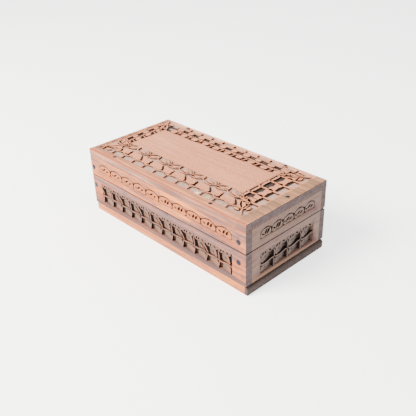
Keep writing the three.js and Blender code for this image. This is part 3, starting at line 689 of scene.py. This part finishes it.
# %% One repeat along the front and the back, and one along the ends
CELL = 14.4
body_unit = relief(
    [
        [(-0.5, -0.6, 2.0), (0.5, 3.0, 2.8), (1.3, 6.8, 2.2)],
        [(CELL - 0.5, -0.6, 2.0), (CELL + 0.5, 3.0, 2.8), (CELL + 1.3, 6.8, 2.2)],
        [(-0.6, 7.7, 2.0), (4.0, 7.3, 2.6), (9.0, 8.2, 2.4), (CELL, 7.7, 2.0), (18.4, 7.3, 2.6),
         (23.4, 8.2, 2.4), (2 * CELL + 0.4, 7.7, 2.0)],
        [(-4.8, 17.2, 1.8), (-1.6, 13.6, 2.8), (1.6, 9.4, 2.2)],
        [(CELL - 0.8, 17.2, 1.6), (CELL - 0.5, 13.0, 2.6), (CELL + 0.2, 9.0, 2.0)],
    ],
    [almond(-3.4, 10.6, 4.6, 1.2, 150), almond(-5.2, 12.6, 4.2, 1.0, 128)],
    rounding=0.4, depth=3.0,
)
cell_leaves = relief(
    [],
    [
        [(3.9, 0.5), (3.6, 3.2), (4.6, 6.0), (8.0, 6.3), (12.5, 6.0), (13.0, 3.0), (12.7, 0.5), (8.0, 0.4)],
        [(3.9, 9.3), (2.9, 12.4), (3.2, 15.4), (7.4, 16.0), (10.0, 15.4), (11.4, 12.4), (12.0, 9.6),
         (8.0, 9.6)],
        almond(7.0, 12.8, 5.4, 1.8, -32),
    ],
    rounding=0.4, depth=3.0, sunk=0.4, slope=0.13, level_at=13.0,
)
hanging = relief(
    [],
    [
        [(-6.6, 19.9), (0.0, 20.0), (6.6, 19.9), (6.7, 17.8), (4.2, 16.6), (0.2, 17.4), (-3.4, 16.3),
         (-6.6, 17.6)],
        almond(-3.8, 18.2, 4.0, 1.9, 56), almond(-1.2, 18.4, 3.6, 1.8, 56), almond(3.4, 18.4, 4.2, 1.8, -34),
    ],
    rounding=0.25, depth=3.0, sunk=0.3,
)
END_CELL = 17.0
end_cell_unit = relief(
    [
        [(0.0, -0.6, 2.2), (0.3, 4.0, 2.6), (0.0, 8.0, 2.2)],
        [(-0.6, 8.2, 2.2), (4.0, 7.2, 2.6), (9.0, 7.6, 2.4), (13.6, 8.8, 2.0), (END_CELL + 0.4, 8.3, 2.2)],
        [(0.2, 8.6, 2.0), (0.8, 13.0, 2.6), (-0.6, 17.8, 1.8)],
    ],
    rounding=0.4, depth=3.0,
)
end_cell_leaves = relief(
    [],
    [
        [(1.9, 1.4), (1.7, 3.8), (2.4, 5.6), (7.0, 5.2), (11.4, 6.0), (12.4, 3.8), (11.6, 1.5), (7.0, 1.3)],
        [(2.4, 10.2), (2.0, 13.0), (2.8, 15.8), (7.0, 16.2), (10.8, 15.6), (12.2, 13.2), (11.2, 10.8),
         (7.0, 9.6)],
        almond(6.6, 13.2, 5.0, 1.2, 24), almond(6.8, 3.4, 5.2, 1.0, 8),
    ],
    rounding=0.4, depth=3.0, sunk=0.5, slope=0.13, level_at=1.5,
)
print("body repeats", len(body_unit.polygons), len(hanging.polygons), len(end_cell_unit.polygons), "faces")

# %% The four walls of the body
body_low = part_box("body_front_board")[0].z / MM + 4.0
body_nodes = {
    "front": "body_front_board", "back": "body_back_board",
    "right": "end_panel", "left": "body_left_end_board",
}
body_walls = {side: board_from(node) for side, node in body_nodes.items()}
for side, start in (("front", 14.6), ("back", 16.1)):
    place = wall_frames[side]
    for repeat in range(6):
        stamp(body_walls[side], body_unit, place, start + repeat * 2 * CELL, body_low, uneven=0.7)
    for cell in range(12):
        stamp(body_walls[side], cell_leaves, place, start + cell * CELL, body_low, uneven=0.5)
        stamp(body_walls[side], hanging, place, start + 6.4 + cell * CELL, body_low - 0.1, uneven=0.4)
for side, start in (("right", 16.6), ("left", 15.2)):
    place = wall_frames[side]
    for cell in range(4):
        stamp(body_walls[side], end_cell_unit, place, start + cell * END_CELL, body_low, uneven=0.7)
        stamp(body_walls[side], end_cell_leaves, place, start + cell * END_CELL, body_low, uneven=0.5)
        stamp(body_walls[side], hanging, place, start + 8.0 + cell * END_CELL, body_low - 0.1,
              stretch=END_CELL / CELL, uneven=0.4)

# %% [markdown]
# ## The materials of the boards, and the finished boards
#
# The long boards carry warm, streaky wood with the fibres along them, and the end boards a greyer one,
# darkened further as painted shade for the right-hand end, which faces away from the light.
# Each carved material is told where its bands are, because only there does depth below the face mean
# carving. On the boards' inner sides the wood is bare.

# %% Wood for each board
BODY_TALL = 20.35
seam = (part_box("lid_front_board")[0].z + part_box("body_front_board")[1].z) / 2
# Each set is the sunk ground, the standing wood and the upright cuts. The dark grounds and cuts are painted
# shade for the recesses, with some dirt; the ring's pale ground is dust.
RING_COLOURS = ((0.38, 0.25, 0.195), (0.50, 0.185, 0.095), (0.022, 0.011, 0.010))
ARCH_COLOURS = ((0.040, 0.015, 0.009), (0.31, 0.084, 0.022), (0.018, 0.008, 0.006))
VINE_COLOURS = ((0.098, 0.050, 0.029), (0.105, 0.045, 0.029), (0.013, 0.008, 0.008))
# The end boards' sets are darker all through, as painted shade for the right-hand end.
SHADED_END_ARCH_COLOURS = ((0.022, 0.012, 0.010), (0.092, 0.050, 0.036), (0.012, 0.006, 0.005))
SHADED_END_VINE_COLOURS = ((0.050, 0.029, 0.022), (0.074, 0.040, 0.029), (0.008, 0.005, 0.005))
ring_band = [
    ((LEFT + RING_LEFT * MM, FRONT + RING_FRONT * MM), (RIGHT - RING_RIGHT * MM, BACK - RING_BACK * MM),
     *RING_COLOURS)
]
heights = ((band_z, lid_tall), (body_low, BODY_TALL))


def wall_bands(start, end, *colour_sets):
    """The arched band and the vine band of a wall that both run from `start` to `end` along it."""
    return [
        ((start, low_z * MM), (end, (low_z + tall) * MM), *colours)
        for (low_z, tall), colours in zip(heights, colour_sets)
    ]


long_bands = wall_bands(
    LEFT + LID_BAND["left"] * MM, RIGHT - LID_BAND["right"] * MM, ARCH_COLOURS, VINE_COLOURS
)
end_bands = wall_bands(
    FRONT + END_BAND["front"] * MM, BACK - END_BAND["back"] * MM, SHADED_END_ARCH_COLOURS, SHADED_END_VINE_COLOURS
)
body_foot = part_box("body_front_board")[0].z
seam_line = (2, seam - 0.45 * MM, seam + 0.45 * MM, 0.25 * MM, DIRT_AND_SHADE, 0.85)
low_stripe = (2, body_foot - MM, body_foot + 3.6 * MM, 1.5 * MM, (0.070, 0.034, 0.032), 0.8)
foot_line = (2, body_foot - MM, body_foot + 0.2 * MM, 0.3 * MM, DIRT_AND_SHADE, 0.6)
foot_glow = (2, body_foot - MM, body_foot + 2.2 * MM, 1.2 * MM, (0.16, 0.072, 0.032), 0.7)
lid_front_edge = (1, FRONT - MM, FRONT + 0.5 * MM, 0.5 * MM, (0.125, 0.045, 0.032), 0.85)
front_margin = (1, FRONT + 0.9 * MM, FRONT + 7.0 * MM, 1.2 * MM, (0.38, 0.120, 0.048), 0.6)
# A darker, browner stripe over the lid's plain right-hand margin.
right_margin_stripe = (0, RIGHT - 9.5 * MM, RIGHT - 0.8 * MM, 0.7 * MM, (0.16, 0.090, 0.044), 0.75)
filler_y = FRONT + (RING_FRONT + 2.6) * MM
filler = [
    ((LEFT + 139 * MM, filler_y, TOP - 1.2 * MM), 3.6 * MM, (0.70, 0.52, 0.42)),
    ((LEFT + 149.5 * MM, filler_y + 0.6 * MM, TOP - 1.2 * MM), 3.4 * MM, (0.46, 0.30, 0.13)),
]


def ring_gap(side, start, end):
    """The corners of a strip along one side of the ring, from `start` to `end` in from its outer edge."""
    low = Vector((LEFT + (RING_LEFT + 11) * MM, FRONT + (RING_FRONT + 18) * MM))
    high = Vector((RIGHT - (RING_RIGHT + 11) * MM, BACK - (RING_BACK + 8) * MM))
    if side == "front":
        low.y, high.y = FRONT + (RING_FRONT + start) * MM, FRONT + (RING_FRONT + end) * MM
    elif side == "back":
        low.y, high.y = BACK - (RING_BACK + end) * MM, BACK - (RING_BACK + start) * MM
    elif side == "right":
        low.x, high.x = RIGHT - (RING_RIGHT + end) * MM, RIGHT - (RING_RIGHT + start) * MM
    else:
        low.x, high.x = LEFT + (RING_LEFT + start) * MM, LEFT + (RING_LEFT + end) * MM
    return tuple(low), tuple(high)


# Strips of the ring whose ground is painted black as the shadow in its narrow slots.
ring_gaps = [
    ring_gap(*strip) for strip in (
        ("front", 8.4, 17.0), ("right", 6.4, 8.8), ("right", 14.2, 25.4),
        ("back", 6.0, 10.2), ("back", 12.6, 17.0), ("left", 5.0, 9.2), ("left", 11.6, 16.0),
    )
]
lid_wood = wood(
    "carved lid wood", 0, (2, TOP), TOP_TONES, ring_band, streaks=0.85, seed=3.1,
    tints=[right_margin_stripe, front_margin, lid_front_edge], gaps=ring_gaps, rubbed=TOP, patches=filler,
)
body_stains = [seam_line, foot_line]
looks = {
    "lid": (0, LID_TONES, long_bands, 1.2, (), [seam_line]),
    "body": (0, BODY_TONES, long_bands, 1.3, [low_stripe], body_stains),
    "end": (1, SHADED_END_TONES, end_bands, 0.75, [foot_glow], body_stains),
}
side_woods = {}
for side, kind, face, seed in (
    ("lid front", "lid", (1, FRONT), 8.4), ("lid back", "lid", (1, BACK), 5.2),
    ("body front", "body", (1, FRONT), 2.6), ("body back", "body", (1, BACK), 9.3),
    ("right end", "end", (0, RIGHT), 1.9), ("left end", "end", (0, LEFT), 7.7),
):
    grain, tones, bands, streaks, tints, overlay_stripes = looks[kind]
    side_woods[side] = wood(f"{side} wood", grain, face, tones, bands, streaks, seed, tints, overlay_stripes)
print(len(side_woods) + 1, "carved woods")

# %% The carved boards become pieces
add_piece("carved_lid_board", lid_top, "lid_top_board", "lid", lid_wood)
for part, sides, nodes in (("lid", lid_walls, lid_nodes), ("body", body_walls, body_nodes)):
    for side, bm in sides.items():
        long = side in ("front", "back")
        rides = "end_panel" if (part, side) == ("body", "right") else part
        look = side_woods[f"{part} {side}" if long else f"{side} end"]
        add_piece(f"carved_{part}_{side}", bm, nodes[side], rides, look)

# %% [markdown]
# ## The base board
#
# The base board isn't carved. It stands a little out at the right-hand end, and its corners are rubbed.
# That end and the top of the ledge it makes are darkened as a painted shadow.

# %% The base board
# A painted shadow: the base's right-hand end and the top of its ledge are darkened.
base_end_shadow = (0, RIGHT - MM, RIGHT + 3 * MM, 0.6 * MM, (0.042, 0.027, 0.023), 1.3)
BASE_TONES = ((0.50, 0.140, 0.020), (0.40, 0.096, 0.012))
base_wood = wood("base wood", 0, (1, FRONT), BASE_TONES, streaks=0.75, seed=12.6, overlay_stripes=[base_end_shadow])
base_bm = board_from("base_board", 0.45 * MM)
add_piece("softened_base_board", base_bm, "base_board", "base", base_wood)
inside_wood = wood("inside wood", 0, (1, FRONT), INSIDE_TONES, streaks=0.4, seed=4.4)
wall_wood = wood("lock wall wood", 1, (0, RIGHT), INSIDE_TONES, streaks=0.4, seed=6.1)
for node, material in {
    "floor_board": inside_wood, "front_base_runner": inside_wood, "rear_base_runner": inside_wood,
    "lock_wall": wall_wood,
}.items():
    frame["nodes"][node].data.materials.clear()
    frame["nodes"][node].data.materials.append(material)


# %% [markdown]
# ## Metal
#
# The nails are iron with broad flat heads, hammered flush and gone slate blue under a dull scale, which
# doesn't mirror as bare metal does. The hinges, the lock's
# case and its screws are dull brass with finger marks, and the bolt, the pins and the key are steel that
# was drawn and filed. Each has a bump of its own size: hammer dents, stamping waviness, or fine filing
# lines.

# %% Three metals
def metal(name, tone, dark, rough, lines, dents, metallic=1.0, shine=0.5):
    f = Finish(name)
    cloudy = f.noise(f.scaled((240, 240, 240)), 4.0, 0.6)
    scratched = f.noise(f.scaled(lines), 3.0, 0.6)
    tarnish = cloudy.ramp(0.38, 0.66)
    height = scratched * 0.3 + f.noise(f.scaled((700, 700, 700)), 2.0, 0.5) * dents
    sockets = {"Strength": 0.5, "Distance": 0.12 * MM, "Height": height}
    bump = f.node("ShaderNodeBump", {}, sockets, "Normal")
    return f.finish(
        base_color=f.mix(tarnish, tone, dark), metallic=metallic, normal=bump,
        roughness=rough + tarnish * 0.22 + scratched.ramp(0.4, 0.7) * 0.1, specular_ior_level=shine,
    )


blued_iron = metal(
    "blued iron", (0.018, 0.023, 0.036), (0.009, 0.010, 0.015), 0.6, (500, 500, 500), 1.2,
    metallic=0.0, shine=0.1,
)
dull_brass = metal("dull brass", (0.60, 0.43, 0.17), (0.30, 0.19, 0.07), 0.30, (90, 1400, 1400), 0.4)
filed_steel = metal("filed steel", (0.52, 0.51, 0.49), (0.26, 0.24, 0.22), 0.30, (1600, 120, 1600), 0.3)

slots = {entry["node"]: entry["material_slot"] for entry in frame["record"]["subparts"]}
for node, thing in frame["nodes"].items():
    chosen = {"brass": dull_brass, "steel": filed_steel, "nail_iron": blued_iron}.get(slots[node])
    if chosen:
        thing.data.materials.clear()
        thing.data.materials.append(chosen)
print("metal on", sum(slots[node] in ("brass", "steel", "nail_iron") for node in slots), "pieces")


# %% [markdown]
# ## Nail heads
#
# A hand-driven nail head is never quite round or flat: the hammer spreads it and leaves facets. Each head
# is a disc whose rim is pushed in and out a little and whose face is slightly domed, on the shank of the
# plain nail.

# %% The nails
def hammered_nail(node):
    lowest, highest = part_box(node)
    size = highest - lowest
    long_axis = max(range(3), key=lambda k: size[k])
    middle = (lowest + highest) / 2
    outward = 1 if abs(highest[long_axis]) > abs(lowest[long_axis]) else -1
    radius = sorted(size)[0] / 2
    bm = bmesh.new()
    made = bmesh.ops.create_circle(bm, cap_ends=True, segments=18, radius=radius)
    for vert in made["verts"]:
        vert.co *= hand.uniform(0.93, 1.0)
    face = bm.faces[:][0]
    bmesh.ops.inset_individual(bm, faces=[face], thickness=radius * 0.3, use_even_offset=True)
    bmesh.ops.translate(bm, verts=face.verts, vec=(0, 0, 0.10 * MM))
    bmesh.ops.inset_individual(bm, faces=[face], thickness=radius * 0.35, use_even_offset=True)
    bmesh.ops.translate(bm, verts=face.verts, vec=(hand.uniform(-0.2, 0.2) * MM, 0, 0.04 * MM))
    rim = [edge for edge in bm.edges if edge.is_boundary]
    down = bmesh.ops.extrude_edge_only(bm, edges=rim)["geom"]
    lowered = [item for item in down if isinstance(item, bmesh.types.BMVert)]
    bmesh.ops.translate(bm, verts=lowered, vec=(0, 0, -0.8 * MM))
    bottom = [edge for edge in bm.edges if edge.is_boundary]
    bmesh.ops.contextual_create(bm, geom=bottom)
    shank = bmesh.ops.create_cone(
        bm, cap_ends=True, segments=8, radius1=0.25 * MM, radius2=0.9 * MM, depth=size[long_axis] - 0.9 * MM
    )
    bmesh.ops.translate(bm, verts=shank["verts"], vec=(0, 0, -(size[long_axis] + 0.5 * MM) / 2))
    bmesh.ops.recalc_face_normals(bm, faces=bm.faces)
    direction = Vector([outward if k == long_axis else 0 for k in range(3)])
    turn = direction.to_track_quat("Z", "Y").to_matrix().to_4x4()
    turn.translation = Vector(
        [(highest if outward > 0 else lowest)[k] - 0.13 * MM * outward if k == long_axis else middle[k]
         for k in range(3)]
    )
    bmesh.ops.transform(bm, matrix=turn, verts=bm.verts)
    body = "lid" if node.startswith(("lid", "top")) else "body"
    return add_piece(node.replace("_nail", "_hammered_nail"), bm, node, body, blued_iron, 50)


nails = [hammered_nail(node) for node in sorted(slots) if node.endswith("_nail")]
print(len(nails), "nails")

# %% [markdown]
# ## Floor, light and camera
#
# The box stands on a plain pale floor. One broad soft light stands to the left in front, so the walls of
# the carving that face right fall into shadow, and the pale surroundings fill the rest.

# %% The floor and the light
floor_bm = bmesh.new()
bmesh.ops.create_grid(floor_bm, x_segments=1, y_segments=1, size=6)
floor_mesh = bpy.data.meshes.new("floor")
floor_bm.to_mesh(floor_mesh)
floor_bm.free()
floor = bpy.data.objects.new("floor", floor_mesh)
floor.location.z = -0.0002
bpy.context.scene.collection.objects.link(floor)
pale = Finish("pale floor")
floor_mesh.materials.append(pale.finish(
    base_color=(0.96, 0.96, 0.96), roughness=0.95, emission_color=(1.0, 1.0, 1.0), emission_strength=1.8
))

world = bpy.data.worlds.new("studio")
bpy.context.scene.world = world
world.use_nodes = True
world.node_tree.nodes["Background"].inputs[0].default_value = (1.0, 1.0, 1.0, 1.0)
world.node_tree.nodes["Background"].inputs[1].default_value = 1.5


def softbox(name, place, aim, size, power, colour=(1, 1, 1)):
    light = bpy.data.lights.new(name, "AREA")
    light.shape = "DISK"
    light.size = size
    light.energy = power
    light.color = colour
    holder = bpy.data.objects.new(name, light)
    holder.location = place
    holder.rotation_euler = (Vector(aim) - Vector(place)).to_track_quat("-Z", "Y").to_euler()
    bpy.context.scene.collection.objects.link(holder)


softbox("key light", (-0.40, -1.0, 0.95), (0, 0, 0.03), 0.8, 85, (1.0, 0.955, 0.88))

# %% The camera
camera = bpy.data.cameras.new("camera")
camera.lens = 51.97
camera.sensor_width = 36
viewer = bpy.data.objects.new("camera", camera)
eye = Vector((0.3579, -0.3252, 0.2984))
back_axis = Vector((0.63396, -0.58913, 0.50103))
roll = math.radians(-2.03)
level_right = Vector((0, 0, 1)).cross(back_axis).normalized()
level_up = back_axis.cross(level_right)
right_axis = level_right * math.cos(roll) + level_up * math.sin(roll)
up_axis = back_axis.cross(right_axis)
viewer.matrix_world = Matrix((right_axis, up_axis, back_axis)).transposed().to_4x4()
viewer.location = eye
bpy.context.scene.collection.objects.link(viewer)
bpy.context.scene.camera = viewer
print("camera", [round(value, 3) for value in eye])
